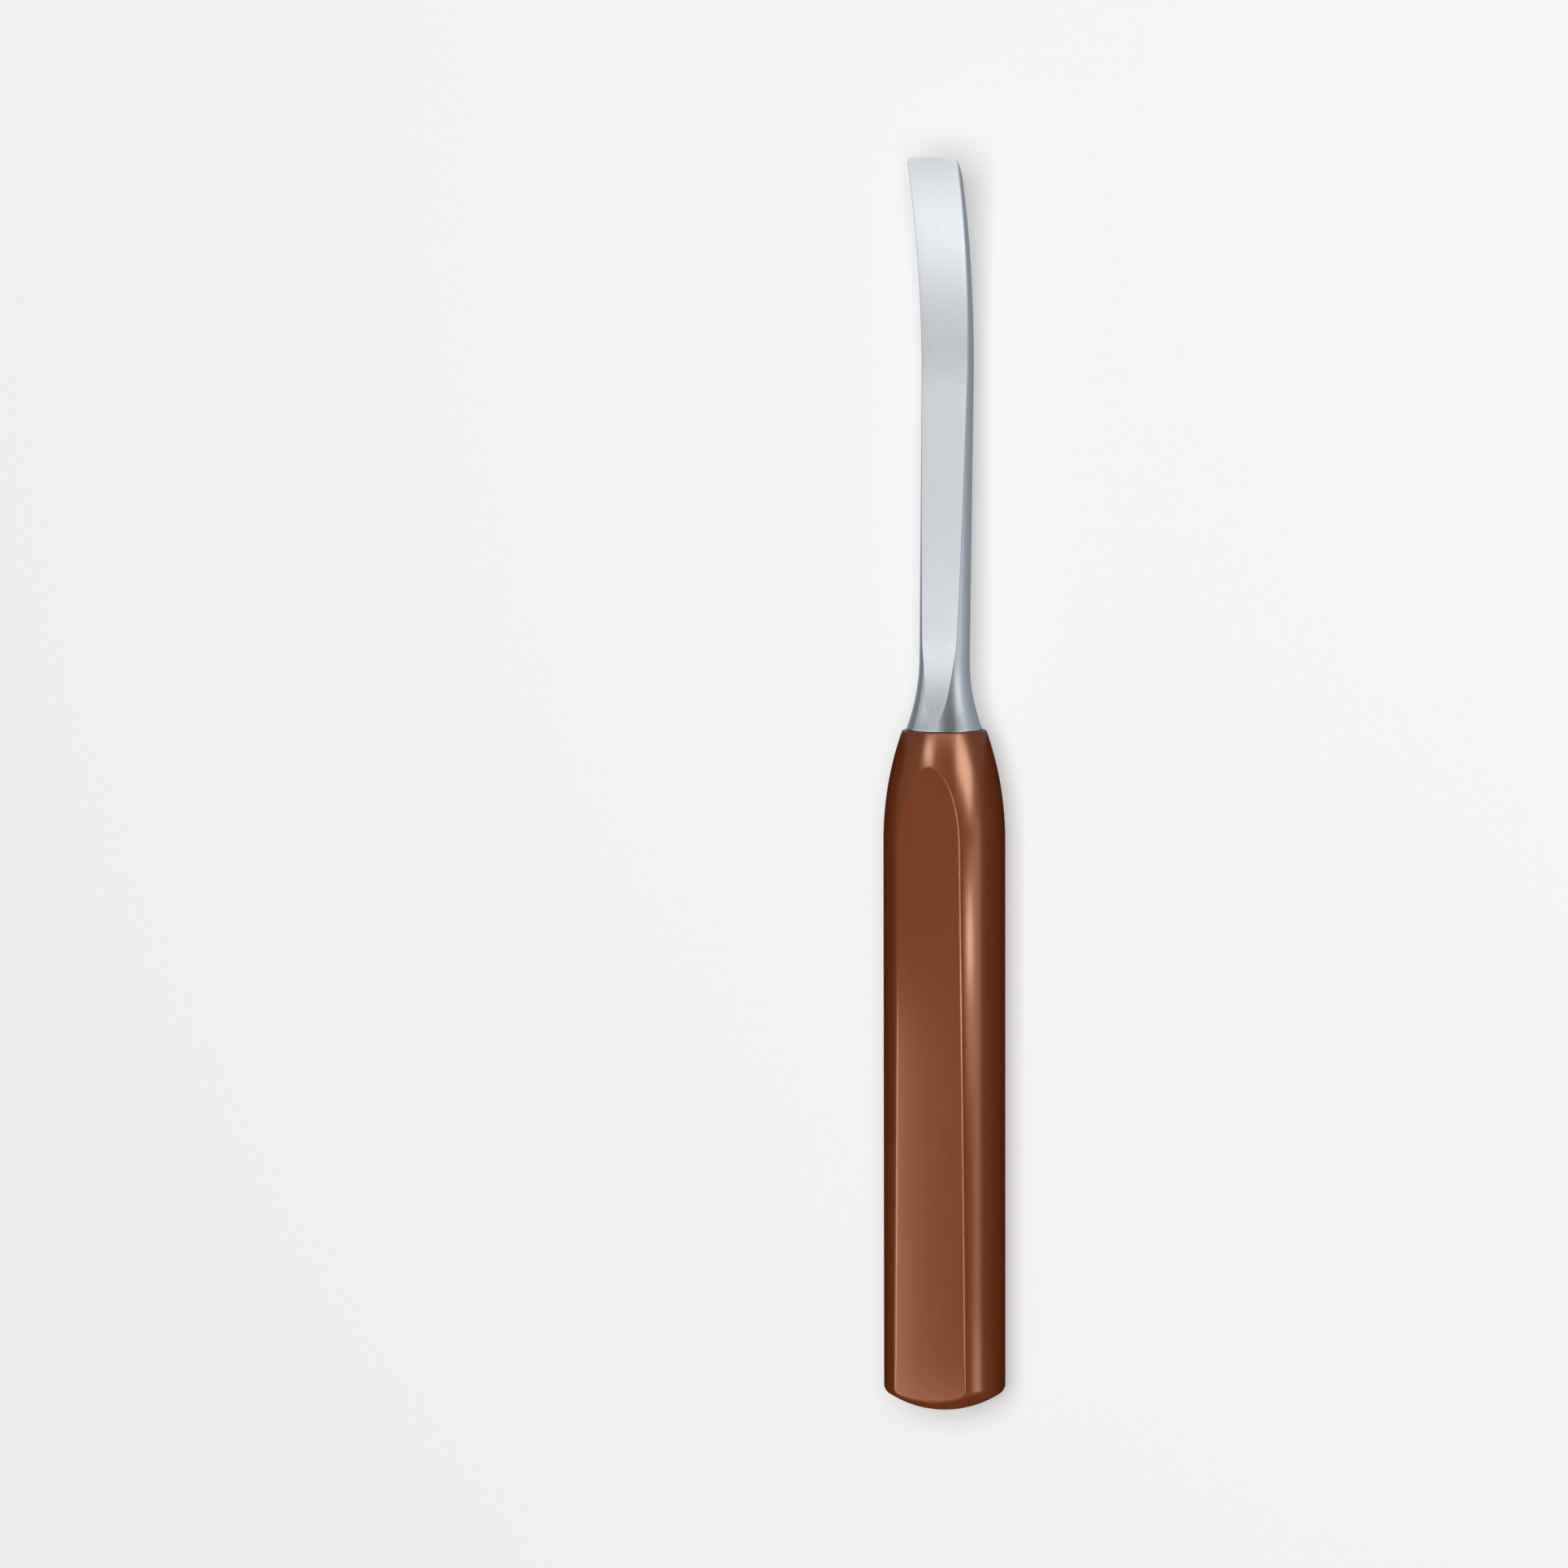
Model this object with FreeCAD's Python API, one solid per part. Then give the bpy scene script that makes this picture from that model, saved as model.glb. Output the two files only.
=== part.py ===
import FreeCAD, Part
import math
import os

# A bone chisel: a forged steel blade, curved near its edge, whose tang is bonded into
# a turned phenolic handle with two ground flats.
# It is drawn along its own axis first: Y runs along the axis towards the cutting edge,
# Z comes out of the front of the blade, X runs across it, and y = 0 is the seat plane
# where the blade's shoulder meets the handle. At the end both pieces are laid down on
# the handle's back flat, with +Z up and the origin under the middle of the whole chisel.

# Sizes in millimetres, angles in degrees

# Whole chisel
overall_length = 245.0
handle_length = 133.5
blade_length = overall_length - handle_length

# Blade: a round shank that spreads a little towards the edge, ground flat on two sides
neck_width = 9.8
edge_width = 10.4
collar_diameter = 15.0
flare_length = 14.0
root_thickness = 7.7
edge_thickness = 1.7

# Run-out of the ground faces, where they climb the flared neck to the collar
runout_height = 7.4
runout_angle = 18.0
runout_blend_radius = 20.0

# Line of the blade, seen from the side
neck_straight = 4.0
lean_angle = 2.2
lean_radius = 120.0
bend_start = 67.0
bend_radius = 96.0

# Cutting edge: one bevel, on the back
bevel_length = 5.2
edge_land = 0.1
corner_radius = 1.4

# Tang and its seat in the handle
tang_diameter = 8.0
tang_length = 90.0
tang_chamfer = 0.8
tang_clearance = 0.05
tang_end_gap = 1.0
drill_point_angle = 118.0

# Handle
handle_diameter = 23.8
seat_diameter = 16.4
seat_edge_radius = 0.3
nose_length = 21.5
butt_radius = 23.0
butt_rim_radius = 4.0
across_flats_butt = 18.7
flat_taper = 0.37
flat_edge_radius = 0.5

# How finely the shank's sections are spaced along each stretch of its line
flare_sections = 6
shank_sections = 4
bend_sections = 6

overrun = 2.0
ORIGIN = FreeCAD.Vector(0, 0, 0)
X_AXIS = FreeCAD.Vector(1, 0, 0)
Y_AXIS = FreeCAD.Vector(0, 1, 0)
Z_AXIS = FreeCAD.Vector(0, 0, 1)


def side_point(y, z):
    """A point of the side view, on the plane of symmetry."""
    return FreeCAD.Vector(0, y, z)


# Line of the blade: straight at the neck, a slight lean back, then the bend to the front

lean = math.radians(lean_angle)
lean_end = neck_straight + lean_radius * lean
bend_start_y = (
    neck_straight + lean_radius * math.sin(lean) + (bend_start - lean_end) * math.cos(lean)
)
bend_start_z = -lean_radius * (1 - math.cos(lean)) - (bend_start - lean_end) * math.sin(lean)

# The cutting edge ends the front face, so that face is what reaches the full length
tip_turn = math.asin(
    (blade_length - bend_start_y - bend_radius * math.sin(lean))
    / (bend_radius - edge_thickness / 2)
)
line_length = bend_start + bend_radius * (lean + tip_turn)


def line_at(u):
    """Centre (y, z) of the blade and its direction above +Y, u along its line from the seat."""
    if u <= neck_straight:
        return u, 0.0, 0.0
    if u <= lean_end:
        turn = (u - neck_straight) / lean_radius
        y = neck_straight + lean_radius * math.sin(turn)
        return y, -lean_radius * (1 - math.cos(turn)), -turn
    if u <= bend_start:
        left = bend_start - u
        return bend_start_y - left * math.cos(lean), bend_start_z + left * math.sin(lean), -lean
    turn = (u - bend_start) / bend_radius - lean
    y = bend_start_y + bend_radius * (math.sin(turn) + math.sin(lean))
    return y, bend_start_z + bend_radius * (math.cos(lean) - math.cos(turn)), turn


def offset_point(u, height):
    """The side-view point that lies height in front of the blade's line at u."""
    y, z, turn = line_at(u)
    return side_point(y - height * math.sin(turn), z + height * math.cos(turn))


def half_thickness(u):
    """Half the blade's thickness at u: one even taper from the seat to the edge."""
    return (root_thickness + (edge_thickness - root_thickness) * u / line_length) / 2


def shank_radius(u):
    """Radius of the round shank at u: an arc out to the collar, then a slow spread."""
    neck = neck_width / 2
    if u >= flare_length:
        share = (u - flare_length) / (line_length - flare_length)
        return neck + (edge_width / 2 - neck) * share
    rise = collar_diameter / 2 - neck
    flare_radius = (flare_length**2 + rise**2) / (2 * rise)
    return neck + flare_radius - math.sqrt(flare_radius**2 - (flare_length - u) ** 2)


# Curves of the side view


def crossing(start, along, other_start, other_along):
    """Where two lines of the side view meet."""
    gap = other_start - start
    across = along.y * other_along.z - along.z * other_along.y
    return start + along * ((gap.y * other_along.z - gap.z * other_along.y) / across)


def blend_arc(corner, towards_start, towards_end, radius):
    """The arc of that radius that rounds the corner between two directions."""
    half_opening = towards_start.getAngle(towards_end) / 2
    middle_way = (towards_start + towards_end).normalize()
    centre = corner + middle_way * (radius / math.sin(half_opening))
    reach = radius / math.tan(half_opening)
    start = corner + towards_start * reach
    end = corner + towards_end * reach
    return Part.Arc(start, centre - middle_way * radius, end).toShape(), start, end


# Blade


def round_shank():
    """The round bar that the blade is ground from, with its flared neck and collar."""
    past_edge = line_length + overrun
    stations = [flare_length * i / flare_sections for i in range(flare_sections)]
    stations += [
        flare_length + (bend_start - flare_length) * i / shank_sections
        for i in range(shank_sections)
    ]
    stations += [
        bend_start + (past_edge - bend_start) * i / bend_sections
        for i in range(bend_sections + 1)
    ]
    rings = []
    for u in stations:
        y, z, turn = line_at(u)
        ring = Part.Wire(Part.Circle(ORIGIN, Y_AXIS, shank_radius(u)).toShape())
        ring.rotate(ORIGIN, X_AXIS, math.degrees(turn))
        ring.translate(side_point(y, z))
        rings.append(ring)
    return Part.makeLoft(rings, True, False)


def ground_face(side):
    """One ground face in the side view, as edges with their two end points.
    side is 1 for the front and -1 for the back, which stops short at the bevel."""
    slope = math.radians(runout_angle)
    seat = side_point(0, side * runout_height)
    down_ramp = side_point(math.cos(slope), -side * math.sin(slope))
    shank_start = offset_point(lean_end, side * half_thickness(lean_end))
    bend = offset_point(bend_start, side * half_thickness(bend_start))
    along_shank = (bend - shank_start).normalize()
    foot = crossing(seat, down_ramp, shank_start, along_shank)
    blend, ramp_end, shank_end = blend_arc(foot, -down_ramp, along_shank, runout_blend_radius)
    end_u = line_length if side > 0 else line_length - bevel_length
    middle_u = (bend_start + end_u) / 2
    middle = offset_point(middle_u, side * half_thickness(middle_u))
    end = offset_point(end_u, side * half_thickness(end_u))
    edges = [
        Part.makeLine(seat, ramp_end),
        blend,
        Part.makeLine(shank_end, bend),
        Part.Arc(bend, middle, end).toShape(),
    ]
    return edges, seat, end


def ground_profile():
    """The blade's side view as a solid plate, wider than the collar."""
    front, front_seat, edge = ground_face(1)
    back, back_seat, heel = ground_face(-1)
    land = offset_point(line_length, edge_thickness / 2 - edge_land)
    below = side_point(-overrun, 0)
    closing = [
        Part.makeLine(edge, land),
        Part.makeLine(land, heel),
        Part.makeLine(front_seat, front_seat + below),
        Part.makeLine(back_seat, back_seat + below),
        Part.makeLine(front_seat + below, back_seat + below),
    ]
    wire = Part.Wire(Part.__sortEdges__(front + back + closing))
    half_width = collar_diameter / 2 + overrun
    plate = Part.Face(wire).extrude(X_AXIS * (2 * half_width))
    plate.translate(X_AXIS * -half_width)
    return plate


def corner_cutter(side):
    """What is ground away to round one corner of the cutting edge."""
    centre_x = side * (edge_width / 2 - corner_radius)
    reach = corner_radius + overrun
    depth = collar_diameter
    block = Part.makeBox(reach, reach, depth)
    block.translate(FreeCAD.Vector(centre_x if side > 0 else centre_x - reach, 0, 0))
    cutter = block.cut(Part.makeCylinder(corner_radius, depth, X_AXIS * centre_x))
    cutter.translate(FreeCAD.Vector(0, -corner_radius, -depth / 2))
    cutter.rotate(ORIGIN, X_AXIS, math.degrees(tip_turn))
    cutter.translate(offset_point(line_length, edge_thickness / 2))
    return cutter


def make_tang():
    """The round tang, rooted in the neck and chamfered at its end."""
    tang = Part.makeCylinder(
        tang_diameter / 2, tang_length + overrun, side_point(-tang_length, 0), Y_AXIS
    )
    end_face = min(tang.Faces, key=lambda face: face.CenterOfMass.y)
    return tang.makeChamfer(tang_chamfer, end_face.Edges)


def make_blade():
    ground = round_shank().common(ground_profile())
    ground = ground.cut([corner_cutter(-1), corner_cutter(1)])
    return ground.fuse(make_tang()).removeSplitter().Solids[0]


# Handle


def rounding(big_centre, big_radius, small_centre, small_radius, straight_side):
    """The small arc that leads from inside a big arc to a straight line, tangent to both.
    straight_side is the unit direction from the small centre to that line."""
    to_join = (small_centre - big_centre).normalize()
    middle = small_centre + (to_join + straight_side).normalize() * small_radius
    join = big_centre + to_join * big_radius
    end = small_centre + straight_side * small_radius
    return Part.Arc(join, middle, end).toShape(), join, end


def turned_handle():
    """The handle off the lathe: rounded butt, parallel barrel, rounded nose, drilled hole."""
    radius = handle_diameter / 2
    butt = side_point(-handle_length, 0)
    butt_centre = butt + side_point(butt_radius, 0)
    rim_height = radius - butt_rim_radius
    rim_back = math.sqrt((butt_radius - butt_rim_radius) ** 2 - rim_height**2)
    rim_arc, butt_end, rim = rounding(
        butt_centre,
        butt_radius,
        butt_centre + side_point(-rim_back, rim_height),
        butt_rim_radius,
        Z_AXIS,
    )
    butt_turn = math.asin(butt_end.z / butt_radius) / 2
    butt_middle = butt_centre - side_point(math.cos(butt_turn), -math.sin(butt_turn)) * butt_radius

    nose_drop = radius - seat_diameter / 2
    nose_radius = (nose_length**2 + nose_drop**2) / (2 * nose_drop)
    nose = side_point(-nose_length, radius)
    nose_centre = nose - Z_AXIS * nose_radius
    edge_up = math.sqrt(
        (nose_radius - seat_edge_radius) ** 2 - (nose_length - seat_edge_radius) ** 2
    )
    edge_arc, nose_end, seat = rounding(
        nose_centre,
        nose_radius,
        side_point(-seat_edge_radius, nose_centre.z + edge_up),
        seat_edge_radius,
        Y_AXIS,
    )
    nose_middle = nose_centre + ((nose + nose_end) * 0.5 - nose_centre).normalize() * nose_radius

    hole_radius = tang_diameter / 2 + tang_clearance
    hole_end = -tang_length - tang_end_gap
    hole_tip = side_point(hole_end - hole_radius / math.tan(math.radians(drill_point_angle / 2)), 0)
    outline = [
        Part.Arc(butt, butt_middle, butt_end).toShape(),
        rim_arc,
        Part.makeLine(rim, nose),
        Part.Arc(nose, nose_middle, nose_end).toShape(),
        edge_arc,
        Part.makeLine(seat, side_point(0, hole_radius)),
        Part.makeLine(side_point(0, hole_radius), side_point(hole_end, hole_radius)),
        Part.makeLine(side_point(hole_end, hole_radius), hole_tip),
        Part.makeLine(hole_tip, butt),
    ]
    turned = Part.Face(Part.Wire(outline)).revolve(ORIGIN, Y_AXIS, 360)
    # The revolved faces start and end on the round side, away from the flats
    turned.rotate(ORIGIN, Y_AXIS, 90)
    return turned


def flat_height(y):
    """Distance of a flat from the axis at y."""
    return across_flats_butt / 2 + math.tan(math.radians(flat_taper)) * (y + handle_length)


def between_flats():
    """The space between the planes of the two flats, wider and longer than the handle."""
    low, high = -handle_length - overrun, overrun
    corners = [
        side_point(low, -flat_height(low)),
        side_point(high, -flat_height(high)),
        side_point(high, flat_height(high)),
        side_point(low, flat_height(low)),
    ]
    half_width = handle_diameter / 2 + overrun
    plate = Part.Face(Part.makePolygon(corners + corners[:1])).extrude(X_AXIS * (2 * half_width))
    plate.translate(X_AXIS * -half_width)
    return plate


def make_handle():
    handle = turned_handle().common(between_flats()).removeSplitter().Solids[0]
    planes = [f for f in handle.Faces if isinstance(f.Surface, Part.Plane)]
    flats = [f for f in planes if abs(f.Surface.Axis.z) > abs(f.Surface.Axis.y)]
    return handle.makeFillet(flat_edge_radius, [e for f in flats for e in f.Edges])


# Laying the chisel down


def lay_down(shape):
    """Turns the back flat level, sets it on z = 0 and centres the length on y = 0."""
    tilt = math.radians(flat_taper)
    edge = offset_point(line_length, edge_thickness / 2)
    edge_y = edge.y * math.cos(tilt) - edge.z * math.sin(tilt)
    butt_y = -handle_length * math.cos(tilt)
    lift = flat_height(0) * math.cos(tilt)
    laid = shape.copy()
    laid.rotate(ORIGIN, X_AXIS, flat_taper)
    laid.translate(side_point(-(edge_y + butt_y) / 2, lift))
    return laid


os.makedirs("parts", exist_ok=True)
for name, shape in (("blade", make_blade()), ("handle", make_handle())):
    piece = lay_down(shape)
    piece.exportStep("parts/" + name + ".step")
    print(name, "valid", piece.isValid(), "solids", len(piece.Solids), "volume", piece.Volume)
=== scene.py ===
import math

import bpy
import numpy as np
from mathutils import Matrix, Quaternion, Vector


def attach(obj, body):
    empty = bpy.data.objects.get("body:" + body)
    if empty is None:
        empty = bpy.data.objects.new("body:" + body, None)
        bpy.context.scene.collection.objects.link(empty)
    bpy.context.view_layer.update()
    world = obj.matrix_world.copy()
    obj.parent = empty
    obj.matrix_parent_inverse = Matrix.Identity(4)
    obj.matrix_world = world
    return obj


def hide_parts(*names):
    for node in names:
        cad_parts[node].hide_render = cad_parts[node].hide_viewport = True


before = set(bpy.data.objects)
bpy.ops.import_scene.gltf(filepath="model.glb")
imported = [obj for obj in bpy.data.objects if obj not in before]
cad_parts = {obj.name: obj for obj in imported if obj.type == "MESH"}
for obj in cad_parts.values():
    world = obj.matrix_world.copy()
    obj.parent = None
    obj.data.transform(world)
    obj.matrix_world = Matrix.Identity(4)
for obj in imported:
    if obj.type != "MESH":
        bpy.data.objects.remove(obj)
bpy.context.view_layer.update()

metre = 0.001  # all sizes below are millimetres, meshes are in metres
print("frame loaded:", sorted(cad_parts))

# Both pieces are worked out in the chisel's own frame: y along the axis from the seat plane
# towards the edge, z out of the front, x across. layDown then brings them into the row frame.
handle = {
    "length": 133.5,
    "radius": 11.9,
    "noseLength": 21.5,
    "seatRadius": 8.2,
    "seatEdge": 0.3,  # rounding of the rim round the seat
    "buttRadius": 20.0,
    "rimRadius": 2.0,
    "buttFlat": 9.35,  # height of a flat above the axis at the butt
    "flatTaper": math.radians(0.37),
    "edgeRadius": (0.5, 1.5),  # of the flats' rolled edges, at the butt and further up
    "edgeGrowth": (2.0, 12.0),  # the stretch above the butt over which they grow
    "archPlace": -7.0,  # about where the flats run out on the nose
    "boreRadius": 4.05,
    "boreDepth": 91.0,
    "drillAngle": math.radians(118.0),
}
blade = {
    "length": 111.5,
    "neckRadius": 4.9,
    "edgeRadius": 5.2,
    "collarRadius": 7.5,
    "flareLength": 14.0,
    "rootThickness": 7.7,
    "edgeThickness": 1.7,
    "runoutHeight": 7.42,
    "runoutSlope": 0.36,
    "runoutRadius": 42.0,
    "runoutSpan": (8.0, 18.0),  # where the ground faces leave the flare and rows lie closer
    "neckStraight": 4.0,
    "lean": math.radians(2.2),
    "leanRadius": 120.0,
    "bendStart": 67.0,
    "bendRadius": 96.0,
    "bevel": 5.2,
    "heelSpan": 0.3,  # either side of the bevel's heel, where rows lie closer
    "heelEase": 0.03,
    "land": 0.1,
    "corner": 1.4,
    "crown": 0.06,  # fall of the front face at its long edges where it is widest
    "brokenEdge": 0.18,  # how much the long edges are eased
    "collarEdge": 0.25,  # how much the collar's rim is eased
    "tangRadius": 4.0,
    "tangLength": 90.0,
    "tangChamfer": 0.8,
}


# Height of a flat above the axis: it climbs evenly from the butt
def flatHeight(y):
    return handle["buttFlat"] + math.tan(handle["flatTaper"]) * (y + handle["length"])


# Line of the blade: straight, a lean back on an arc, straight, then an arc to the front.
# Each stretch adds its own run and rise, so y, z and the turn above +Y are plain sums.
def bladeLine(u):
    lean, leanRadius, bendRadius = blade["lean"], blade["leanRadius"], blade["bendRadius"]
    leanEnd = blade["neckStraight"] + leanRadius * lean
    leaning = (np.clip(u, blade["neckStraight"], leanEnd) - blade["neckStraight"]) / leanRadius
    straight = np.clip(u, leanEnd, blade["bendStart"]) - leanEnd
    turn = (np.maximum(u, blade["bendStart"]) - blade["bendStart"]) / bendRadius - lean
    y = np.minimum(u, blade["neckStraight"]) + leanRadius * np.sin(leaning)
    y = y + straight * math.cos(lean) + bendRadius * (np.sin(turn) + math.sin(lean))
    z = leanRadius * (np.cos(leaning) - 1) - straight * math.sin(lean)
    z = z + bendRadius * (math.cos(lean) - np.cos(turn))
    return y, z, turn + lean - leaning


# The front face ends at the cutting edge, so it is what reaches the blade's full length
bendY = float(bladeLine(np.array(blade["bendStart"]))[0])
tipTurn = math.asin(
    (blade["length"] - bendY - blade["bendRadius"] * math.sin(blade["lean"]))
    / (blade["bendRadius"] - blade["edgeThickness"] / 2)
)
lineLength = blade["bendStart"] + blade["bendRadius"] * (blade["lean"] + tipTurn)

# The row frame: turned by the taper of a flat so that the back flat is level, then lifted
# onto the floor and centred on the length between the cutting edge and the butt
tilt = handle["flatTaper"]
edgeLine = [float(v) for v in bladeLine(np.array(lineLength))]
edgeY = edgeLine[0] - math.sin(edgeLine[2]) * blade["edgeThickness"] / 2
edgeZ = edgeLine[1] + math.cos(edgeLine[2]) * blade["edgeThickness"] / 2
shiftY = -(edgeY * math.cos(tilt) - edgeZ * math.sin(tilt) - handle["length"] * math.cos(tilt)) / 2
lift = float(flatHeight(0.0)) * math.cos(tilt)


# Turn about X by the tilt, then move, then millimetres to metres
def layDown(points):
    x, y, z = points[..., 0], points[..., 1], points[..., 2]
    laidY = y * math.cos(tilt) - z * math.sin(tilt) + shiftY
    laidZ = y * math.sin(tilt) + z * math.cos(tilt) + lift
    return np.stack([x, laidY, laidZ], -1) * metre


# The camera comes first, from the photograph's angle

camera = {
    "lens": 200.0,
    "sensor": 36.0,
    "distance": 1700.0,
    "yaw": math.radians(18.9),
    "pitch": math.radians(3.92),
    "sideways": -31.27,  # from the middle of the picture to the seat, across and up
    "upwards": -10.53,
}


# The camera stands a long way in front of the seat's centre and looks back along its own Z
def makeCamera():
    yaw, pitch = camera["yaw"], camera["pitch"]
    right = Vector((math.cos(yaw), 0, -math.sin(yaw)))
    back = Vector((math.sin(yaw) * math.cos(pitch), math.sin(pitch), math.cos(yaw) * math.cos(pitch)))
    up = back.cross(right)
    seat = Vector((0, shiftY, lift))
    place = seat + right * camera["sideways"] + up * camera["upwards"] + back * camera["distance"]
    data = bpy.data.cameras.new("camera")
    data.lens, data.sensor_width = camera["lens"], camera["sensor"]
    eye = bpy.data.objects.new("camera", data)
    bpy.context.scene.collection.objects.link(eye)
    turned = Matrix((right, up, back)).transposed().to_4x4()
    eye.matrix_world = Matrix.Translation(place * metre) @ turned
    bpy.context.scene.camera = eye


makeCamera()
bpy.context.scene.view_settings.view_transform = "Standard"
print("camera placed")


# A smooth-shaded mesh object whose creases above the angle stay crisp
def meshOf(name, points, faces, crease=35.0):
    mesh = bpy.data.meshes.new(name)
    mesh.from_pydata(points.tolist(), [], faces)
    mesh.polygons.foreach_set("use_smooth", [True] * len(mesh.polygons))
    mesh.set_sharp_from_angle(angle=math.radians(crease))
    mesh.update()
    piece = bpy.data.objects.new(name, mesh)
    bpy.context.scene.collection.objects.link(piece)
    return piece


# Numbers of the vertices in rows of closed rings, the neighbour of each along its ring, and
# the quads that join each ring to the next
def ringQuads(rings):
    rows, columns = rings.shape[:2]
    index = np.arange(rows * columns).reshape(rows, columns)
    after = np.roll(index, -1, axis=1)
    quads = np.stack([index[:-1], after[:-1], after[1:], index[1:]], -1).reshape(-1, 4)
    return index, after, quads.tolist()


# Joins stretches of rows that share their end values
def stretches(*parts):
    return np.concatenate([parts[0]] + [p[1:] for p in parts[1:]])


# Handle: centres and turns of the arcs of its lathe outline

noseRise = handle["radius"] - handle["seatRadius"]
noseRadius = (handle["noseLength"] ** 2 + noseRise**2) / (2 * noseRise)
noseDrop = handle["radius"] - noseRadius
rimHeight = handle["radius"] - handle["rimRadius"]
rimBack = math.sqrt((handle["buttRadius"] - handle["rimRadius"]) ** 2 - rimHeight**2)
buttCentre = handle["buttRadius"] - handle["length"]
rimCentre = buttCentre - rimBack
buttTurn = math.atan2(rimHeight, rimBack)
seatEdgeRise = math.sqrt(
    (noseRadius - handle["seatEdge"]) ** 2 - (handle["noseLength"] - handle["seatEdge"]) ** 2
)
noseTurn = math.atan2(handle["noseLength"] - handle["seatEdge"], seatEdgeRise)


# Signed distance from the turned outline, and its outward direction (along y, along radius):
# distance from the arc or line whose stretch of the outline lies nearest
def turnedDistance(y, rho):
    nose = np.stack([y + handle["noseLength"], rho - noseDrop])
    rim = np.stack([y - rimCentre, rho - rimHeight])
    butt = np.stack([y - buttCentre, rho])
    noseLong, rimLong, buttLong = (np.maximum(np.hypot(*v), 1e-9) for v in (nose, rim, butt))
    onRim = rim[1] * math.cos(buttTurn) + rim[0] * math.sin(buttTurn) > 0
    where = [y > -handle["noseLength"], y > rimCentre, onRim]
    gap = [noseLong - noseRadius, rho - handle["radius"], rimLong - handle["rimRadius"]]
    gap = np.select(where, gap, buttLong - handle["buttRadius"])
    along = np.select(where, [nose[0] / noseLong, 0 * y, rim[0] / rimLong], butt[0] / buttLong)
    outward = np.select(where, [nose[1] / noseLong, 0 * y + 1, rim[1] / rimLong], butt[1] / buttLong)
    return gap, along, outward


# Distance from the turned body cut by the flats, with the edge between them rolled round:
# inside the edge's wedge it is the distance to the shrunk body's edge less the radius
def handleDistance(y, rho, angle, radius):
    gap, along, outward = turnedDistance(y, rho)
    front = np.abs(np.cos(angle))
    flatGap = (rho * front - flatHeight(y)) * math.cos(tilt)
    cosine = outward * front * math.cos(tilt) - along * math.sin(tilt)
    a, b = gap + radius, flatGap + radius
    wedge = (a - b * cosine > 0) & (b - a * cosine > 0)
    span = np.maximum(a * a + b * b - 2 * a * b * cosine, 0) / np.maximum(1 - cosine**2, 1e-6)
    return np.where(wedge, np.sqrt(span), np.maximum(a, b)) - radius


# Radius of the surface at each y and angle: halve the interval between axis and lathe outline
def handleRadius(y, angle, lathe, radius, halvings=40):
    low, high = 0 * angle, 0 * angle + lathe
    for _ in range(halvings):
        middle = (low + high) / 2
        inside = handleDistance(y, middle, angle, radius) < 0
        low, high = np.where(inside, middle, low), np.where(inside, high, middle)
    return (low + high) / 2


# Rows of the lathe outline from the butt to the seat, as y and radius. They lie closer where
# the form turns: on the rim, on both sides of the flats' arch and on the seat's rim.
def latheRows():
    butt = np.linspace(0.04, 1, 12) * buttTurn  # starts just off the pole
    rim = buttTurn + (math.pi / 2 - buttTurn) * np.linspace(0, 1, 34)[1:]
    barrel = np.linspace(rimCentre, -handle["noseLength"], 30)[1:]
    archHeight = flatHeight(handle["archPlace"]) - noseDrop
    arch = math.sqrt(noseRadius**2 - archHeight**2) - handle["noseLength"]
    below = arch - (arch + handle["noseLength"]) * np.linspace(1, 0, 30)[1:] ** 1.8
    above = arch + (-handle["seatEdge"] - arch) * np.linspace(0, 1, 26)[1:] ** 1.4
    nose = np.concatenate([below, above])
    nose = nose[nose < noseRadius * math.sin(noseTurn) - handle["noseLength"]]
    edge = np.linspace(noseTurn, math.pi / 2, 7)
    y = [
        buttCentre - handle["buttRadius"] * np.cos(butt),
        rimCentre - handle["rimRadius"] * np.cos(rim),
        barrel,
        nose,
        -handle["seatEdge"] + handle["seatEdge"] * np.sin(edge),
    ]
    radius = [
        handle["buttRadius"] * np.sin(butt),
        rimHeight + handle["rimRadius"] * np.sin(rim),
        np.full(len(barrel), handle["radius"]),
        noseDrop + np.sqrt(noseRadius**2 - (nose + handle["noseLength"]) ** 2),
        noseDrop + seatEdgeRise + handle["seatEdge"] * np.cos(edge),
    ]
    return np.concatenate(y), np.concatenate(radius)


# Radius of the rolled edge in each row
def rolledEdge(y):
    return np.interp(y + handle["length"], handle["edgeGrowth"], handle["edgeRadius"])


# Angles of the columns in each row, from the middle of the front flat round to the side:
# across the flat, closely through the rolled edge, then on round the turned side
def columnAngles(y, lathe):
    before, after, least = 0.01, 0.012, 0.03  # radians round the rolled edge, and its least span
    radius = np.minimum(rolledEdge(y), 0.6 * lathe)
    flat = np.minimum(flatHeight(y), lathe)
    rolled = np.arccos(np.clip((flat - radius) / (lathe - radius), -1, 1))
    start = np.arctan2((lathe - radius) * np.sin(rolled), flat)
    widest = np.arccos(np.clip(flat / lathe, -1, 1))
    start = np.maximum(np.minimum(start, widest) - before, after)
    stop = np.maximum(rolled + after, start + least)
    start, stop = start[:, None], stop[:, None]
    across = start * np.linspace(0, 1, 11)[None]
    through = start + (stop - start) * np.linspace(0, 1, 11)[None, 1:]
    side = stop + (math.pi / 2 - stop) * np.linspace(0, 1, 29)[None, 1:]
    quarter = np.concatenate([across, through, side], 1)
    half = np.concatenate([quarter, math.pi - quarter[:, -2::-1]], 1)
    return np.concatenate([half, 2 * math.pi - half[:, -2:0:-1]], 1)


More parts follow.
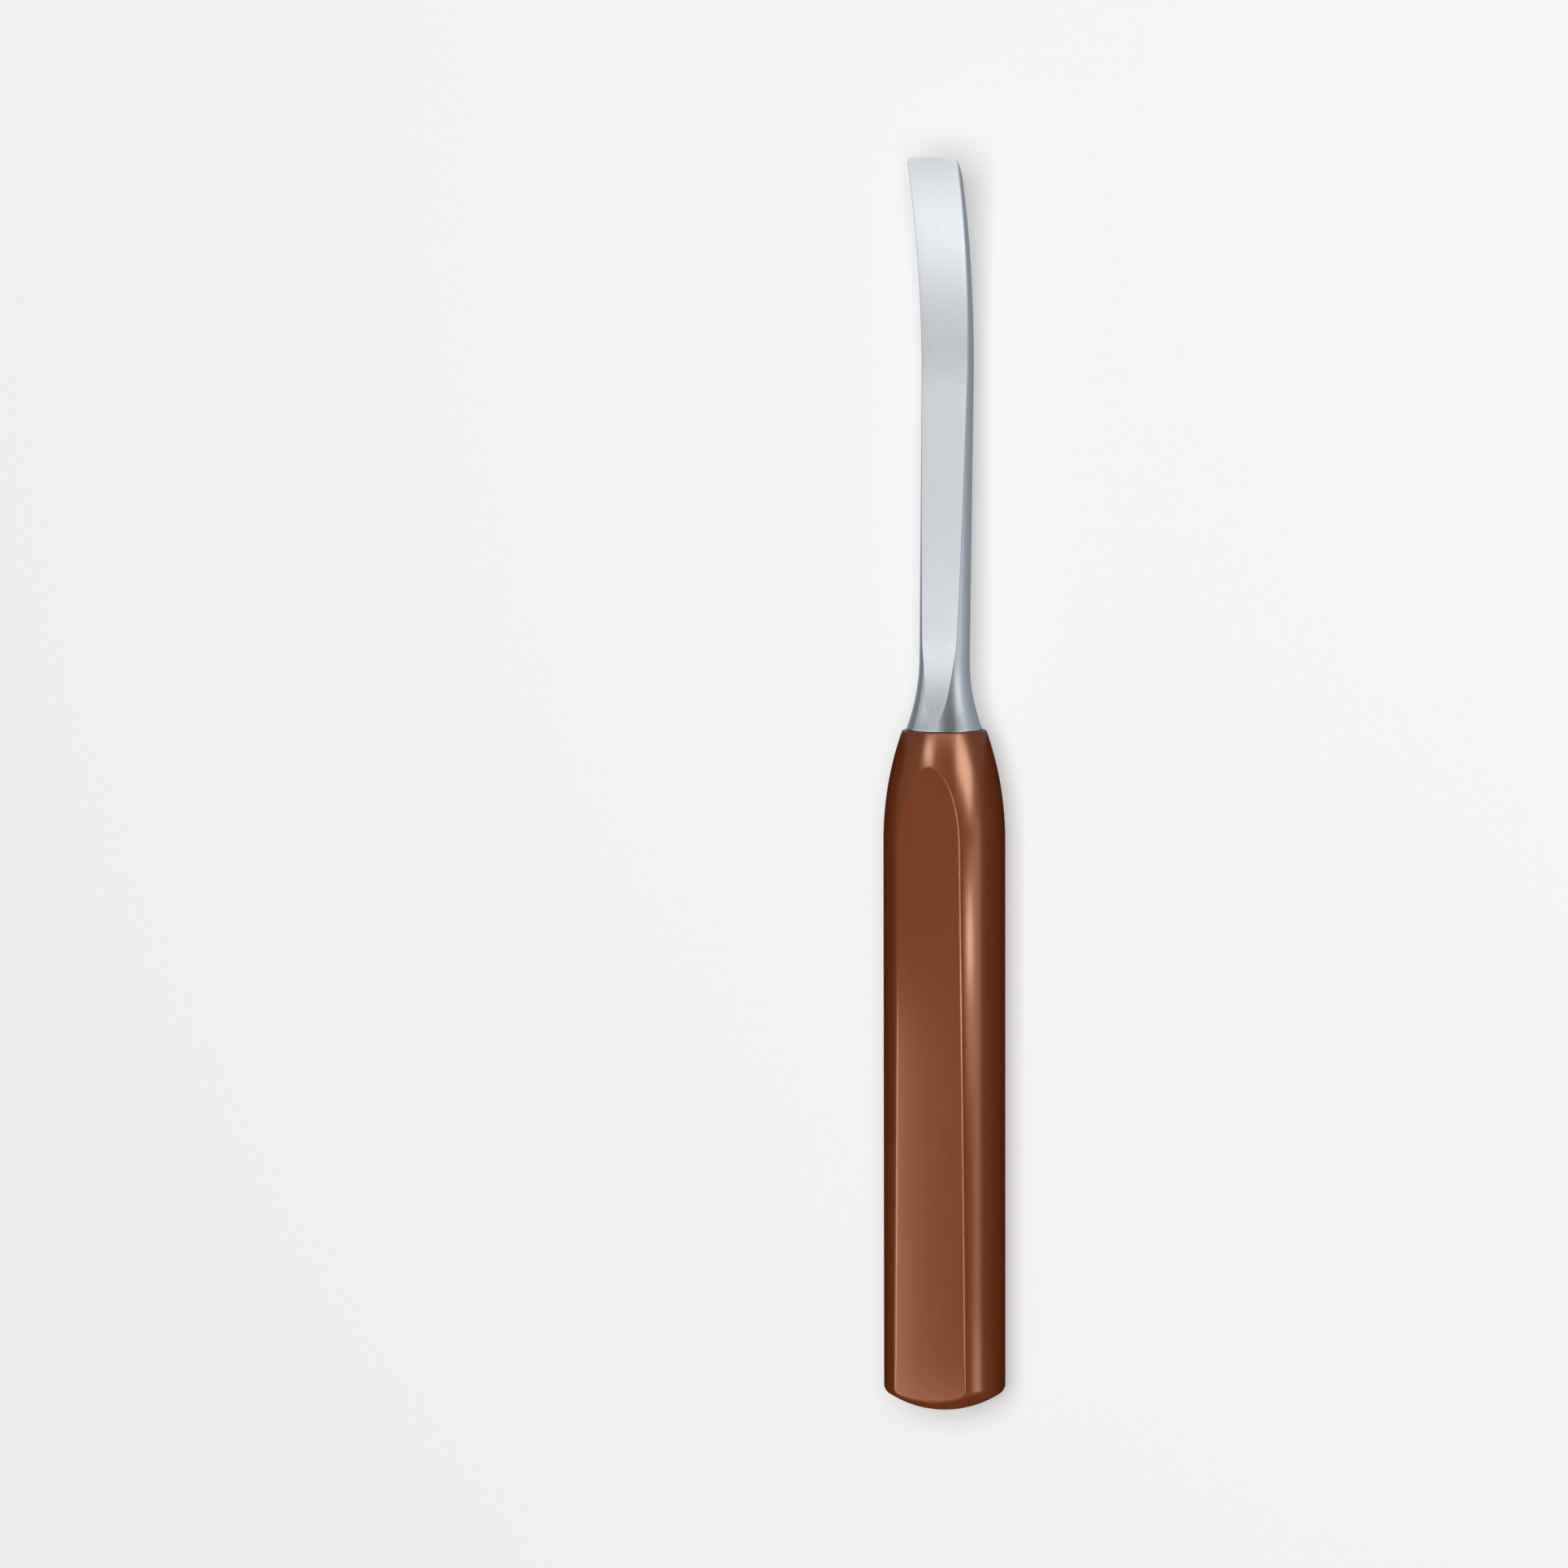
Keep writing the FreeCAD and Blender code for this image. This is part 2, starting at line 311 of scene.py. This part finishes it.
# The outside from the butt to the seat, then the drilled hole: the seat's ring, the wall and
# the drill's cone. A fan of triangles closes each end.
def makeHandle():
    y, lathe = latheRows()
    angle = columnAngles(y, lathe)
    across = y[:, None] + 0 * angle
    rho = handleRadius(across, angle, lathe[:, None], rolledEdge(across))
    outside = np.stack([rho * np.sin(angle), across, rho * np.cos(angle)], -1)
    circle = np.stack([np.sin(angle[-1]), 0 * angle[-1], np.cos(angle[-1])], -1)
    depths = np.array([0.0, -handle["boreDepth"]])
    hole = circle[None] * handle["boreRadius"] + depths[:, None, None] * np.array([0, 1.0, 0])
    rings = np.concatenate([outside, hole])
    index, after, quads = ringQuads(rings)
    drillTip = -handle["boreDepth"] - handle["boreRadius"] / math.tan(handle["drillAngle"] / 2)
    poles = np.array([[0, -handle["length"], 0], [0, drillTip, 0]])
    butt = np.stack([np.full(len(circle), index.size), after[0], index[0]], -1)
    drill = np.stack([np.full(len(circle), index.size + 1), index[-1], after[-1]], -1)
    points = layDown(np.vstack([rings.reshape(-1, 3), poles]))
    piece = meshOf("phenolicHandle", points, quads + butt.tolist() + drill.tolist())
    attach(piece, "root")
    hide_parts("handle")
    return piece


phenolicHandle = makeHandle()
print("handle made:", len(phenolicHandle.data.polygons), "faces")


# Radius of the round shank: a circular flare out to the collar, then a slow even spread
def shankRadius(u):
    rise = blade["collarRadius"] - blade["neckRadius"]
    flare = (blade["flareLength"] ** 2 + rise**2) / (2 * rise)
    left = np.clip(blade["flareLength"] - u, 0, None)
    share = np.clip(u - blade["flareLength"], 0, None) / (lineLength - blade["flareLength"])
    widening = (blade["edgeRadius"] - blade["neckRadius"]) * share
    return blade["neckRadius"] + flare - np.sqrt(flare**2 - left**2) + widening


# Height of a ground face over the line, measured across it: the larger of the run-out ramp
# and the even taper, joined by a parabola as tight as the run-out radius
def groundHeight(u, side):
    y, z, turn = bladeLine(u)
    slope = blade["runoutSlope"]
    ramp = (blade["runoutHeight"] - slope * y - side * z) / (
        np.cos(turn) - side * slope * np.sin(turn)
    )
    taper = (blade["edgeThickness"] - blade["rootThickness"]) / lineLength / 2
    shank = blade["rootThickness"] / 2 + taper * u
    blend = (slope + taper) ** 2 * blade["runoutRadius"] / 2
    near = np.clip(blend - np.abs(ramp - shank), 0, None)
    return np.maximum(ramp, shank) + near**2 / (4 * blend)


# Height of the back below the line, with the bevel: where each section meets the straight
# line from the heel to the land, and the two joined by a slight rounding
def backHeight(u):
    full = groundHeight(u, -1)
    y, z, turn = bladeLine(u)
    heel = lineLength - blade["bevel"]
    ends = bladeLine(np.array([heel, lineLength]))
    off = np.array([-groundHeight(np.array(heel), -1), blade["edgeThickness"] / 2 - blade["land"]])
    endY, endZ = ends[0] - off * np.sin(ends[2]), ends[1] + off * np.cos(ends[2])
    runY, runZ = endY[1] - endY[0], endZ[1] - endZ[0]
    cross = (y - endY[0]) * runZ - (z - endZ[0]) * runY
    height = cross / (-np.sin(turn) * runZ - np.cos(turn) * runY)
    nearHeel = u > heel - 2.0  # further back the bevel's line lies outside the blade
    bevelled = np.where(nearHeel, height, full + 1.0)
    near = np.clip(blade["heelEase"] - np.abs(full - bevelled), 0, None)
    return np.minimum(full, bevelled) - near**2 / (4 * blade["heelEase"])


# Half of each section from the middle of the front to the middle of the back: ground face,
# eased edge, round side, eased edge, ground face, as x and height over the line
def halfSections(u):
    shank, front, back = shankRadius(u), groundHeight(u, 1), backHeight(u)
    crown = blade["crown"] * np.maximum(1 - (front / shank) ** 2, 0)
    front = front - crown
    # the easing shrinks where the blade is thin or a ground face runs out on the round
    ease = np.minimum(blade["brokenEdge"], 0.35 * (front + back))
    ease = np.minimum(ease, 0.9 * (shank - front))
    inner = shank - ease
    frontX = np.sqrt(np.maximum(inner**2 - (front - ease) ** 2, 0))
    backX = np.sqrt(np.maximum(inner**2 - (back - ease) ** 2, 0))
    frontTurn, backTurn = np.arctan2(front - ease, frontX), np.arctan2(-(back - ease), backX)
    right = math.pi / 2
    face, edge, flank = (np.linspace(0, 1, n)[None] for n in (9, 7, 17))
    shank, front, back, ease, frontX, backX, frontTurn, backTurn, crown = (
        v[:, None] for v in (shank, front, back, ease, frontX, backX, frontTurn, backTurn, crown)
    )
    frontEdge = right + (frontTurn - right) * edge[:, 1:]
    flankTurn = frontTurn + (backTurn - frontTurn) * flank[:, 1:]
    backEdge = backTurn + (-right - backTurn) * edge[:, 1:]
    x = [
        frontX * face,
        frontX + ease * np.cos(frontEdge),
        shank * np.cos(flankTurn),
        backX + ease * np.cos(backEdge),
        backX * (1 - face[:, 1:]),
    ]
    height = [
        front + crown * (1 - face**4),
        front - ease + ease * np.sin(frontEdge),
        shank * np.sin(flankTurn),
        ease - back + ease * np.sin(backEdge),
        -back + 0 * face[:, 1:],
    ]
    return np.concatenate(x, 1), np.concatenate(height, 1)


# Stations along the line: the collar's eased rim, the flare, the run-out, the shank, the bend,
# the bevel's heel, the bevel and the rounded corners of the edge
def bladeStations():
    heel, corner = lineLength - blade["bevel"], lineLength - blade["corner"]
    runoutStart, runoutEnd = blade["runoutSpan"]
    return stretches(
        blade["collarEdge"] * (1 - np.cos(np.linspace(0, math.pi / 2, 7))),
        np.linspace(blade["collarEdge"], runoutStart, 17),
        np.linspace(runoutStart, runoutEnd, 26),
        np.linspace(runoutEnd, blade["bendStart"], 26),
        np.linspace(blade["bendStart"], heel - blade["heelSpan"], 30),
        np.linspace(heel - blade["heelSpan"], heel + blade["heelSpan"], 9),
        np.linspace(heel + blade["heelSpan"], corner, 6),
        corner + blade["corner"] * np.sin(np.linspace(0, math.pi / 2, 13)),
    )


# Whole sections, as x and height over the line. A quarter circle in plan narrows them at the
# corners of the edge, and a quarter circle draws the first ones in at the collar's rim.
def bladeSections(u):
    x, height = halfSections(u)
    past = np.clip(u - (lineLength - blade["corner"]), 0, None)
    arc = np.sqrt(np.maximum(blade["corner"] ** 2 - past**2, 0))
    plan = blade["edgeRadius"] - blade["corner"] + arc
    narrow = np.where(past > 0, plan / shankRadius(u), 1.0)
    short = np.clip(1 - u / blade["collarEdge"], 0, 1)
    drawn = 1 - blade["collarEdge"] * (1 - np.sqrt(1 - short**2)) / blade["collarRadius"]
    x, height = x * (narrow * drawn)[:, None], height * drawn[:, None]
    return (
        np.concatenate([x, -x[:, -2:0:-1]], 1),
        np.concatenate([height, height[:, -2:0:-1]], 1),
    )


# Rings of the tang, round in the angles of the collar's ring, from its end to the shoulder
def tangRings(x, height):
    angle = np.arctan2(x, height)
    circle = np.stack([np.sin(angle), 0 * angle, np.cos(angle)], -1)
    radius = blade["tangRadius"] - np.array([blade["tangChamfer"], 0, 0])
    y = np.array([-blade["tangLength"], blade["tangChamfer"] - blade["tangLength"], 0.0])
    return circle[None] * radius[:, None, None] + y[:, None, None] * np.array([0, 1.0, 0])


# Faces of the land, which closes the last ring: each point of the front joins the point of
# the back below it. In the middle of a side two corners are the same and one is left out.
def landFaces(ring):
    middle = len(ring) // 2
    pair = np.arange(middle // 2)
    closing = np.concatenate([
        np.stack([ring[pair], ring[pair + 1], ring[middle - 1 - pair], ring[middle - pair]], -1),
        np.stack([ring[middle + pair], ring[middle + 1 + pair], ring[-1 - pair], ring[-pair]], -1),
    ])
    return [list(dict.fromkeys(corners)) for corners in closing.tolist()]


# The same points on a straight blade that doesn't flare or taper, in millimetres: the
# brushing follows them
def unbentPoints(u, x, height, tang):
    along = np.concatenate([tang[:, 0, 1], u])[:, None] + np.zeros(x.shape[1])
    level = np.where(height > 0, height.max(1, keepdims=True), -height.min(1, keepdims=True))
    across = np.concatenate([tang[..., 0], x / shankRadius(u)[:, None] * blade["neckRadius"]])
    through = np.concatenate([tang[..., 2], height / level * blade["rootThickness"] / 2])
    return np.stack([across, along, through], -1).reshape(-1, 3)


def makeBlade():
    u = bladeStations()
    x, height = bladeSections(u)
    tang = tangRings(x[0], height[0])
    y, z, turn = (v[:, None] for v in bladeLine(u))
    sections = np.stack([x, y - height * np.sin(turn), z + height * np.cos(turn)], -1)
    rings = np.concatenate([tang, sections])
    index, after, quads = ringQuads(rings)
    end = np.stack([np.full(x.shape[1], index.size), after[0], index[0]], -1)
    pole = [[0, -blade["tangLength"], 0]]
    points = layDown(np.vstack([rings.reshape(-1, 3), pole]))
    piece = meshOf("steelBlade", points, quads + end.tolist() + landFaces(index[-1]))
    unbent = np.vstack([unbentPoints(u, x, height, tang), pole])
    layer = piece.data.attributes.new("unbent", "FLOAT_VECTOR", "POINT")
    layer.data.foreach_set("vector", unbent.astype(np.float32).ravel())
    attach(piece, "root")
    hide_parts("blade")
    return piece


steelBlade = makeBlade()
print("blade made:", len(steelBlade.data.polygons), "faces")


# A material with its nodes, the call that joins two sockets, and its Principled surface
def material(name):
    made = bpy.data.materials.new(name)
    made.use_nodes = True
    tree = made.node_tree
    return made, tree.nodes, tree.links.new, tree.nodes["Principled BSDF"]


# Fills the inputs of a node in order, by a join from a socket or as a fixed value
def feed(node, join, values):
    for socket, value in zip(node.inputs, values):
        if isinstance(value, bpy.types.NodeSocket):
            join(value, socket)
        else:
            socket.default_value = value
    return node.outputs[0]


# Up to three values through a math node
def calculate(nodes, join, operation, *values):
    node = nodes.new("ShaderNodeMath")
    node.operation = operation
    return feed(node, join, values)


# The product of two colours
def tinted(nodes, join, first, second):
    node = nodes.new("ShaderNodeVectorMath")
    node.operation = "MULTIPLY"
    return feed(node, join, (first, second))


# A noise texture on stretched coordinates: cells per unit of the coordinate along each axis
def noise(nodes, join, source, stretch, detail, roughness=0.5):
    mapping, texture = nodes.new("ShaderNodeMapping"), nodes.new("ShaderNodeTexNoise")
    mapping.inputs["Scale"].default_value = stretch
    texture.inputs["Scale"].default_value = 1.0
    texture.inputs["Detail"].default_value = detail
    texture.inputs["Roughness"].default_value = roughness
    join(source, mapping.inputs["Vector"])
    join(mapping.outputs["Vector"], texture.inputs["Vector"])
    return texture.outputs["Fac"]


# Takes a value evenly from its usual span to the range between low and high
def spread(nodes, join, value, low, high, span=(0.25, 0.75)):
    ranged = nodes.new("ShaderNodeMapRange")
    ranged.clamp = False
    ranged.inputs["From Min"].default_value, ranged.inputs["From Max"].default_value = span
    ranged.inputs["To Min"].default_value, ranged.inputs["To Max"].default_value = low, high
    join(value, ranged.inputs["Value"])
    return ranged.outputs["Result"]


# The sum of several noise values, each with its own weight
def blendOf(nodes, join, weighted):
    total = 0.0
    for value, weight in weighted:
        total = calculate(nodes, join, "MULTIPLY_ADD", value, weight, total)
    return total


# Mixes two fixed colours by a factor socket
def mixColours(nodes, join, factor, first, second):
    mix = nodes.new("ShaderNodeMix")
    mix.data_type = "RGBA"
    join(factor, mix.inputs["Factor"])
    ends = [i for i in mix.inputs if i.type == "RGBA"]
    ends[0].default_value, ends[1].default_value = (*first, 1), (*second, 1)
    return [o for o in mix.outputs if o.type == "RGBA"][0]


# A fine relief from a height value, in metres
def relief(nodes, join, surface, height, depth):
    bump = nodes.new("ShaderNodeBump")
    bump.inputs["Strength"].default_value = 1.0
    bump.inputs["Distance"].default_value = depth
    join(height, bump.inputs["Height"])
    join(bump.outputs["Normal"], surface.inputs["Normal"])


phenolic = {
    "dark": (0.134, 0.026, 0.0058),
    "light": (0.153, 0.0315, 0.0075),
    "tint": (1.0, 0.64, 0.44),
    "roughness": (0.225, 0.255),
    "cloud": (260, 60, 260),  # cells per metre across, along and through the handle
    "fibre": (2200, 70, 2200),
    "weave": (3800, 3800, 3800),
    "depth": 0.0000012,
}


# Dark red laminate, polished: soft clouds and fine lengthwise fibres in the colour, and a
# faint weave in the polish
def phenolicLaminate():
    made, nodes, join, surface = material("phenolicLaminate")
    place = nodes.new("ShaderNodeTexCoord").outputs["Object"]
    cloud = noise(nodes, join, place, phenolic["cloud"], 2)
    fibre = noise(nodes, join, place, phenolic["fibre"], 3, 0.6)
    weave = noise(nodes, join, place, phenolic["weave"], 2)
    tone = spread(nodes, join, blendOf(nodes, join, [(cloud, 0.6), (fibre, 0.4)]), 0, 1)
    colour = mixColours(nodes, join, tone, phenolic["dark"], phenolic["light"])
    join(colour, surface.inputs["Base Color"])
    polish = blendOf(nodes, join, [(fibre, 0.5), (weave, 0.5)])
    join(spread(nodes, join, polish, *phenolic["roughness"]), surface.inputs["Roughness"])
    surface.inputs["Specular IOR Level"].default_value = 0.5
    surface.inputs["Specular Tint"].default_value = (*phenolic["tint"], 1)
    relief(nodes, join, surface, polish, phenolic["depth"])
    return made


steel = {
    "dark": (0.762, 0.798, 0.843),
    "light": (0.808, 0.843, 0.888),
    "roughness": (0.23, 0.29),
    "brush": (2.4, 0.12, 2.4),  # cells per millimetre across, along and through the blade
    "haze": (0.4, 0.05, 0.4),
    "depth": 0.0000003,
}


# Satin steel: brushed lengthwise in the blade's own unbent millimetres, with a slow haze
def brushedSteel():
    made, nodes, join, surface = material("brushedSteel")
    unbent = nodes.new("ShaderNodeAttribute")
    unbent.attribute_name = "unbent"
    brush = noise(nodes, join, unbent.outputs["Vector"], steel["brush"], 4, 0.65)
    haze = noise(nodes, join, unbent.outputs["Vector"], steel["haze"], 2)
    tone = spread(nodes, join, blendOf(nodes, join, [(brush, 0.55), (haze, 0.45)]), 0, 1)
    colour = mixColours(nodes, join, tone, steel["dark"], steel["light"])
    join(colour, surface.inputs["Base Color"])
    join(spread(nodes, join, brush, *steel["roughness"]), surface.inputs["Roughness"])
    surface.inputs["Metallic"].default_value = 1.0
    relief(nodes, join, surface, brush, steel["depth"])
    return made


phenolicHandle.data.materials.append(phenolicLaminate())
steelBlade.data.materials.append(brushedSteel())
print("materials made")


studio = {
    "floor": (0.95, 0.943, 0.946),
    "background": (0.925, 0.918, 0.921),
    "ambient": 0.12,
    "floorSize": 6.0,  # metres, as is the drop
    "floorDrop": 0.00005,  # keeps the floor just clear of the handle's back flat
    "plainShare": 0.4,
    "across": (  # degrees from straight up to the right, and the grey seen in gloss there
        (-180, 0.1), (-100, 0.18), (-88, 0.4), (-74, 0.66), (-58, 0.76), (-40, 0.84), (-27, 0.88),
        (-19, 1.0), (-10, 1.06), (-3, 1.0), (7, 0.62), (18, 0.3), (50, 0.24), (60, 0.42),
        (69, 0.92), (92, 0.92), (110, 0.4), (180, 0.3),
    ),
    "along": (  # y of the direction, and the grey that the first is multiplied by
        (-1, 0.72), (-0.78, 0.78), (-0.66, 0.96), (-0.52, 1.14), (-0.36, 0.98), (-0.2, 0.71),
        (-0.06, 0.63), (0.05, 0.65), (0.09, 0.8), (0.14, 1.02), (0.28, 1.06), (0.37, 0.84),
        (0.47, 0.5), (0.53, 0.47), (0.62, 0.68), (1, 0.6),
    ),
}


# A grey that runs through stops of (place, grey) along a value from 0 to 1
def greyRamp(nodes, join, value, stops):
    ramp = nodes.new("ShaderNodeValToRGB")
    elements = ramp.color_ramp.elements
    for place, _ in stops[2:]:  # a new ramp has two stops
        elements.new(place)
    for element, (place, grey) in zip(elements, sorted(stops)):
        element.position, element.color = place, (grey, grey, grey, 1)
    join(value, ramp.inputs["Fac"])
    return ramp.outputs["Color"]


# 1 for rays that come from the camera or through glass, else 0
def lookingStraight(nodes, join, path):
    rays = path.outputs["Is Camera Ray"], path.outputs["Is Transmission Ray"]
    return calculate(nodes, join, "MAXIMUM", *rays)


# A matt floor that is partly plain background where it is looked at, straight or in gloss, so
# that its shadow is lighter
def makeFloor():
    half, drop = studio["floorSize"] / 2, -studio["floorDrop"]
    corners = [[-half, -half, drop], [half, -half, drop], [half, half, drop], [-half, half, drop]]
    floor = meshOf("floor", np.array(corners), [[0, 1, 2, 3]])
    made, nodes, join, surface = material("floorPaint")
    surface.inputs["Base Color"].default_value = (*studio["floor"], 1)
    surface.inputs["Roughness"].default_value = 0.9
    surface.inputs["Specular IOR Level"].default_value = 0.0
    plain, seen = nodes.new("ShaderNodeEmission"), nodes.new("ShaderNodeMixShader")
    plain.inputs["Color"].default_value = (*studio["background"], 1)
    path = nodes.new("ShaderNodeLightPath")
    looking = lookingStraight(nodes, join, path)
    looking = calculate(nodes, join, "MAXIMUM", looking, path.outputs["Is Glossy Ray"])
    join(calculate(nodes, join, "MULTIPLY", looking, studio["plainShare"]), seen.inputs[0])
    join(surface.outputs[0], seen.inputs[1])
    join(plain.outputs[0], seen.inputs[2])
    join(seen.outputs[0], nodes["Material Output"].inputs["Surface"])
    floor.data.materials.append(made)


# What the camera sees is plain. In the gloss the same background is split into light and dark
# panels by direction: along the chisel by the direction's y, across it by the angle from
# straight up, -180 to 180 degrees. Everything else is lit by a low even light.
def makeWorld():
    world = bpy.data.worlds.new("studio")
    world.use_nodes = True
    bpy.context.scene.world = world
    nodes, join = world.node_tree.nodes, world.node_tree.links.new
    nodes.clear()
    output = nodes.new("ShaderNodeOutputWorld")
    seen, gloss, lit = (nodes.new("ShaderNodeBackground") for _ in range(3))
    seen.inputs["Color"].default_value = (*studio["background"], 1)
    lit.inputs["Color"].default_value = (1, 1, 1, 1)
    lit.inputs["Strength"].default_value = studio["ambient"]
    direction, split = nodes.new("ShaderNodeTexCoord"), nodes.new("ShaderNodeSeparateXYZ")
    join(direction.outputs["Generated"], split.inputs[0])
    turn = calculate(nodes, join, "ARCTAN2", split.outputs["X"], split.outputs["Z"])
    turn = calculate(nodes, join, "MULTIPLY_ADD", turn, 0.5 / math.pi, 0.5)
    ahead = calculate(nodes, join, "MULTIPLY_ADD", split.outputs["Y"], 0.5, 0.5)
    across = greyRamp(nodes, join, turn, [(0.5 + v / 360, g) for v, g in studio["across"]])
    along = greyRamp(nodes, join, ahead, [(0.5 + v / 2, g) for v, g in studio["along"]])
    join(tinted(nodes, join, across, along), gloss.inputs["Color"])
    path = nodes.new("ShaderNodeLightPath")
    first, second = nodes.new("ShaderNodeMixShader"), nodes.new("ShaderNodeMixShader")
    join(path.outputs["Is Glossy Ray"], first.inputs[0])
    join(lit.outputs[0], first.inputs[1])
    join(gloss.outputs[0], first.inputs[2])
    join(lookingStraight(nodes, join, path), second.inputs[0])
    join(first.outputs[0], second.inputs[1])
    join(seen.outputs[0], second.inputs[2])
    join(second.outputs[0], output.inputs["Surface"])


# An area light that stands off a point of the chisel in a given direction and faces it.
# Its width lies across the chisel and its height along it, unless it is rolled by some
# degrees. Its radiance doesn't change with its size.
def softbox(name, towards, direction, distance, size, radiance, roll=0.0):
    data = bpy.data.lights.new(name, "AREA")
    data.shape, data.size, data.size_y = "RECTANGLE", size[0] * metre, size[1] * metre
    data.energy = radiance * math.pi * data.size * data.size_y
    lamp = bpy.data.objects.new(name, data)
    bpy.context.scene.collection.objects.link(lamp)
    away = Vector(direction).normalized()
    side = Quaternion(away, math.radians(roll)) @ Vector((0, 1, 0)).cross(away).normalized()
    place = (Vector(towards) + away * distance) * metre
    turned = Matrix((side, away.cross(side), away)).transposed().to_4x4()
    lamp.matrix_world = Matrix.Translation(place) @ turned
    lamp.visible_camera = False
    return lamp


# Lamps that light only one piece: some only draw its sheen, and some only its colour
def lightOnly(piece, sheen, fill=()):
    receivers = bpy.data.collections.new("light on " + piece.name)
    receivers.objects.link(piece)
    for lamp in (*sheen, *fill):
        lamp.light_linking.receiver_collection = receivers
        lamp.visible_diffuse, lamp.visible_glossy = lamp in fill, lamp in sheen


# A glowing sheet seen only in the gloss, a painted dark reflection that stands in for shade
# round the chisel. Its grey runs through stops of (mm to the right of the chisel, grey).
def glossShadeSheet(name, corners, stops=((-300, 0.0), (300, 0.0)), tint=(1, 1, 1)):
    sheet = meshOf(name, np.array(corners) * metre, [[0, 1, 2, 3]])
    made, nodes, join, surface = material(name + "ShadePaint")
    left, right = stops[0][0], stops[-1][0]
    split = nodes.new("ShaderNodeSeparateXYZ")
    join(nodes.new("ShaderNodeTexCoord").outputs["Object"], split.inputs[0])
    scale, start = 1 / (right - left) / metre, -left / (right - left)
    place = calculate(nodes, join, "MULTIPLY_ADD", split.outputs["X"], scale, start)
    grey = greyRamp(nodes, join, place, [((x - left) / (right - left), g) for x, g in stops])
    glow = nodes.new("ShaderNodeEmission")
    join(tinted(nodes, join, grey, tint), glow.inputs["Color"])
    join(glow.outputs[0], nodes["Material Output"].inputs["Surface"])
    nodes.remove(surface)
    sheet.data.materials.append(made)
    sheet.visible_camera = sheet.visible_diffuse = sheet.visible_shadow = False
    sheet.visible_transmission = sheet.visible_volume_scatter = False


# Corners of a painted-reflection sheet that lies on the floor between two places along the chisel
def onFloor(near, far, half=300, height=0.03):
    return [[-half, near, height], [half, near, height], [half, far, height], [-half, far, height]]


# Corners of a painted-reflection sheet that stands on the floor along the chisel, at a place across
# it
def standing(across, near, far, low, high):
    return [[across, near, low], [across, far, low], [across, far, high], [across, near, high]]


# Lamps for the sheen of the handle: the point that each faces, the direction to it from there,
# its distance, width and height, radiance, and roll where it has one
handleLamps = {
    "noseGlow": ((-0.4, 7.5, 19.5), (-0.335, 0.437, 0.835), 400, (145, 28), 42.0),
    "seamGlow": ((2, 10, 18), (0.207, 0.60, 0.773), 400, (420, 70), 6.0),
    "noseStrip": ((6.5, 3, 18), (0.835, 0.36, 0.414), 400, (150, 225), 16.5, 50.0),
    "barrelStrip": ((8, -28.5, 18.8), (0.915, -0.093, 0.395), 70, (16, 17), 17.0),
    "barrelTail": ((8, -40, 18.6), (0.92, -0.1, 0.38), 150, (40, 34), 5.5),
    "lowStrip": ((4, -95, 15), (0.985, -0.07, 0.15), 400, (105, 280), 3.1),
    "buttStrip": ((9, -119, 17), (0.982, -0.143, 0.12), 70, (20, 24), 3.2),
    "edgeStrip": ((4, -60, 20), (0.208, -0.09, 0.976), 400, (80, 280), 12.0),
    "edgeGlow": ((4, -44, 20), (0.2, -0.1, 0.97), 100, (20, 28), 12.0),
    "lowerLeft": ((-27, -87, 20), (-0.32, -0.1, 0.94), 60, (34, 84), 9.0),
    "lowerEnd": ((-2, -127, 20), (-0.32, -0.14, 0.94), 60, (50, 14), 3.5),
}
# Greys of the painted reflections: under the blade by mm to the right of the chisel, and at the
# handle's end
bladeStops = (
    (-300, 0.42), (-100, 0.22), (-50, 0.15), (-24, 0.25), (-8, 0.42), (0, 0.25), (13, 0.3),
    (28, 0.4), (72, 0.52), (300, 0.6),
)
endStops = ((-300, 0.03), (-40, 0.04), (0, 0.08), (300, 0.12))
reflectedShadeEnds = (-400, -126, 11.5, 130)  # where the painted reflections at the end, under the handle and under the blade lie between

makeFloor()
makeWorld()
overhead = softbox("overhead", (0, 0, 10), (0.15, 0.1, 0.98), 1500, (900, 900), 8.2)
overhead.visible_glossy = False
lightOnly(
    phenolicHandle,
    [softbox(name, *values) for name, values in handleLamps.items()],
    [softbox("buttFill", (0, -120, 10), (0.0, -0.95, 0.3), 500, (400, 300), 3.2)],
)
# Sheets seen only in the gloss paint dark reflections of shade: under the handle, beside its left
# side and, brownish, at its end; under the blade a bluish grey
glossShadeSheet("handleReflectedShade", onFloor(*reflectedShadeEnds[1:3]))
glossShadeSheet("endReflectedShade", onFloor(*reflectedShadeEnds[:2]), endStops, (1, 0.62, 0.42))
glossShadeSheet("leftReflectedShade", standing(-24, -150, 14, 0.1, 19))
glossShadeSheet("bladeReflectedShade", onFloor(*reflectedShadeEnds[2:]), bladeStops, (0.92, 1.0, 1.08))
lightOnly(
    steelBlade,
    [softbox("faceGlow", (-1, 31, 14), (-0.33, 0.055, 0.94), 120, (90, 18), 0.22)],
)
print("studio made")
